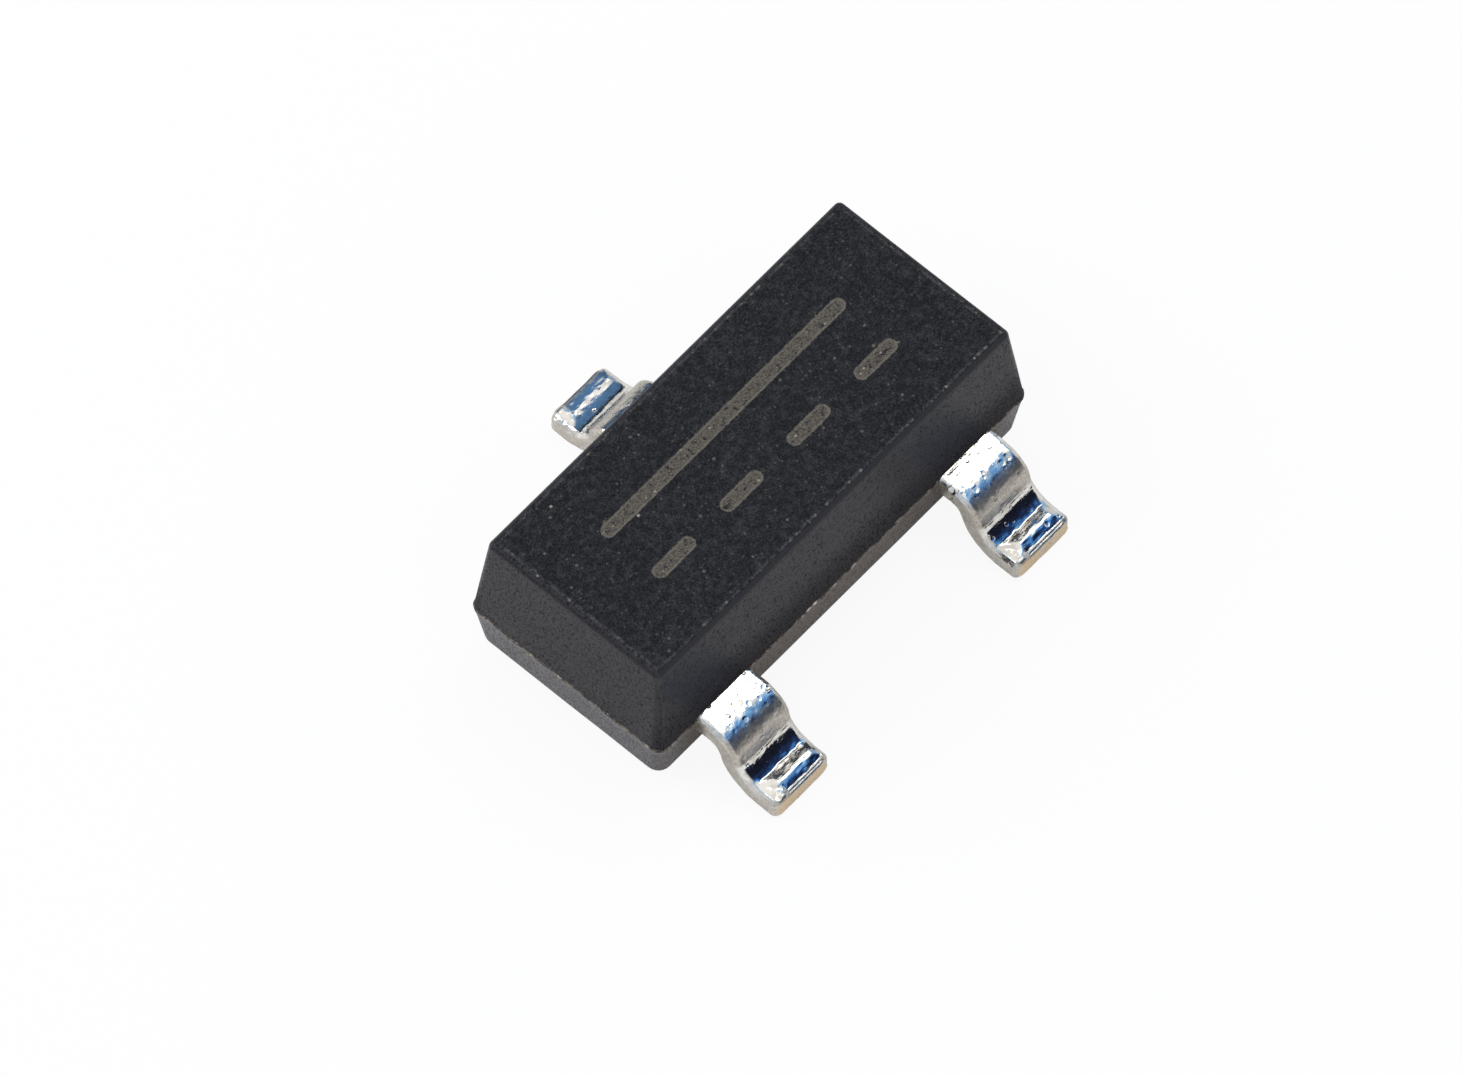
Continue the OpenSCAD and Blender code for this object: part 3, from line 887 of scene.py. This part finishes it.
def floor_material(s):
    """Pale floor: takes shadows, and shows the eye and bright metal a plain white."""
    material, tree = bare_material("pale_floor")
    plain = node(tree, "ShaderNodeBsdfDiffuse", {"Color": (*s.floor, 1.0)}).outputs[0]
    white = node(tree, "ShaderNodeEmission", {"Color": (1.0, 1.0, 1.0, 1.0), "Strength": 1.0}).outputs[0]
    rays = node(tree, "ShaderNodeLightPath").outputs
    direct = mul(tree, rays["Is Camera Ray"], s.glow)
    seen = calc(tree, "MAXIMUM", direct, mul(tree, mirror_rays(tree, rays), s.mirrored))
    mixed = node(tree, "ShaderNodeMixShader", {0: seen, 1: plain, 2: white})
    node(tree, "ShaderNodeOutputMaterial", {"Surface": mixed.outputs[0]})
    return material


def surround_material(s, radius):
    """Glow of the surround: dark panels before and behind the part, sky on its right and haze on its left.

    The panels rise from shade through dusk and blue to sky, and the one behind is paler. Low down the sides
    have the room's plain light.
    """
    material, tree = bare_material("dark_surround")
    place = node(tree, "ShaderNodeTexCoord").outputs["Object"]
    spot = node(tree, "ShaderNodeSeparateXYZ", {0: place}).outputs
    colour = blend(tree, fade(tree, spot[2], 30 * MM, 48 * MM), s.shade, s.dusk)
    for low, high, next_colour in ((52, 72, s.blue), (72, 100, s.sky)):
        colour = blend(tree, fade(tree, spot[2], low * MM, high * MM), colour, next_colour)
    back = fade(tree, spot[1], 0.1 * radius, 0.5 * radius)
    back = mul(tree, back, fade(tree, spot[2], 10 * MM, 24 * MM))
    colour = blend(tree, mul(tree, back, 0.8), colour, s.pool)
    raised = fade(tree, spot[2], 30 * MM, 60 * MM)
    panel = fade(tree, calc(tree, "ABSOLUTE", spot[1]), 0.5 * radius, 0.72 * radius)
    colour = blend(tree, panel, blend(tree, raised, s.room, s.sky), colour)
    left = fade(tree, spot[0], -0.1 * radius, -0.6 * radius)
    colour = blend(tree, left, colour, blend(tree, raised, s.room, s.haze))
    glow = node(tree, "ShaderNodeEmission", {"Color": colour, "Strength": 1.0})
    node(tree, "ShaderNodeOutputMaterial", {"Surface": glow.outputs[0]})
    return material


def surround_surface(radius, low, high, front):
    """Points and quads of an upright ring: a circle carried up to `high`, and to `front` before the part."""
    rows, columns = SURROUND_RING
    turn = np.linspace(0.0, 2.0 * np.pi, columns, endpoint=False)
    x, y = radius * np.cos(turn), radius * np.sin(turn)
    top = high + (front - high) * smooth_step(0.0, -0.3 * radius, y)
    rise = low + (top - low) * np.linspace(0.0, 1.0, rows)[:, None]
    ring = np.stack(np.broadcast_arrays(x, y, rise), axis=-1)
    return ring.reshape(-1, 3), grid_quads(rows, columns, closed=True)


def studio_world(s):
    """Soft light from the room, white where the eye, metal or glass sees past the floor."""
    world = bpy.data.worlds.new("studio")
    world.use_nodes = True
    tree = world.node_tree
    tree.nodes.clear()
    rays = node(tree, "ShaderNodeLightPath").outputs
    seen = calc(tree, "MAXIMUM", rays["Is Camera Ray"], mirror_rays(tree, rays))
    colour = blend(tree, seen, s.room, (1.0, 1.0, 1.0))
    light = node(tree, "ShaderNodeBackground", {"Color": colour, "Strength": 1.0})
    node(tree, "ShaderNodeOutputWorld", {"Surface": light.outputs[0]})
    return world


def stage_piece(name, points, quads, material):
    """Makes a piece of the studio that isn't part of the object."""
    mesh = bpy.data.meshes.new(name)
    mesh.from_pydata(points.tolist(), [], quads.tolist())
    mesh.materials.append(material)
    piece = bpy.data.objects.new(name, mesh)
    bpy.context.scene.collection.objects.link(piece)
    return piece


class TRANSISTOR_OT_studio(bpy.types.Operator):
    """Set up the floor, surround, lights and camera"""

    bl_idname = "transistor.studio"
    bl_label = "Studio"

    def execute(self, context):
        s = context.scene.transistor_studio
        corners = FLOOR_REACH * np.array([(-1, -1, 0), (1, -1, 0), (1, 1, 0), (-1, 1, 0)])
        stage_piece("floor", corners, np.arange(4)[None], floor_material(s))
        ring = stage_piece("dark_surround", *surround_surface(*SURROUND), surround_material(s, SURROUND[0]))
        ring.visible_camera = False
        ring.visible_diffuse = False
        ring.visible_shadow = False
        ring.visible_transmission = False
        context.scene.world = studio_world(s)
        place_light("back_softbox", (-0.45, 0.65, 0.60), 40 * MM, 28 * MM, (1.0, 1.0, 1.0), 0.0060)
        place_light("overhead_softbox", (0.36, 0.02, 0.93), 30 * MM, 11 * MM, (1.0, 0.97, 0.92), 0.0011)
        place_camera(context.scene, s)
        context.scene.view_settings.view_transform = "Standard"
        return {"FINISHED"}


def place_camera(scene, s):
    """Adds a long-lens camera; its axes are right, up and back as azimuth and elevation give them."""
    sine, cosine = np.sin(s.azimuth), np.cos(s.azimuth)
    level, rise = np.cos(s.elevation), np.sin(s.elevation)
    right = Vector((cosine, sine, 0.0))
    back = Vector((sine * level, -cosine * level, rise))
    up = back.cross(right)
    camera = bpy.data.cameras.new("camera")
    camera.lens = 800.0
    camera.clip_start = MM
    camera.clip_end = 10.0
    middle = Vector((0.0, 0.0, scene.transistor_moulding.parting)) - right * s.aside - up * s.above
    far = s.field * camera.lens / camera.sensor_width
    held = bpy.data.objects.new("camera", camera)
    turned = Matrix((right, up, back)).transposed().to_4x4()
    held.matrix_world = Matrix.Translation(middle + back * far) @ turned
    scene.collection.objects.link(held)
    scene.camera = held


class TRANSISTOR_PT_panel(bpy.types.Panel):
    """Lists the steps and settings of the transistor"""

    bl_label = "Transistor"
    bl_idname = "TRANSISTOR_PT_panel"
    bl_space_type = "VIEW_3D"
    bl_region_type = "UI"
    bl_category = "Transistor"

    def draw(self, context):
        for step in STEPS:
            self.layout.operator(step.bl_idname)
        for name in SETTINGS:
            column = self.layout.column()
            for field in getattr(context.scene, name).__annotations__:
                column.prop(getattr(context.scene, name), field)


STEPS = (TRANSISTOR_OT_moulding, TRANSISTOR_OT_leads, TRANSISTOR_OT_inner, TRANSISTOR_OT_studio)
SETTINGS = {
    "transistor_moulding": MouldingSettings,
    "transistor_lead": LeadSettings,
    "transistor_studio": StudioSettings,
}


def register():
    """Registers the settings, the steps and the panel."""
    for name, group in SETTINGS.items():
        bpy.utils.register_class(group)
        setattr(bpy.types.Scene, name, PointerProperty(type=group))
    for step in (*STEPS, TRANSISTOR_PT_panel):
        bpy.utils.register_class(step)


def unregister():
    """Takes them out again."""
    for step in (TRANSISTOR_PT_panel, *reversed(STEPS)):
        bpy.utils.unregister_class(step)
    for name, group in SETTINGS.items():
        delattr(bpy.types.Scene, name)
        bpy.utils.unregister_class(group)


def main():
    """Builds the part in order."""
    register()
    bpy.ops.transistor.moulding()
    bpy.ops.transistor.leads()
    bpy.ops.transistor.inner()
    bpy.ops.transistor.studio()


if __name__ == "__main__":
    main()
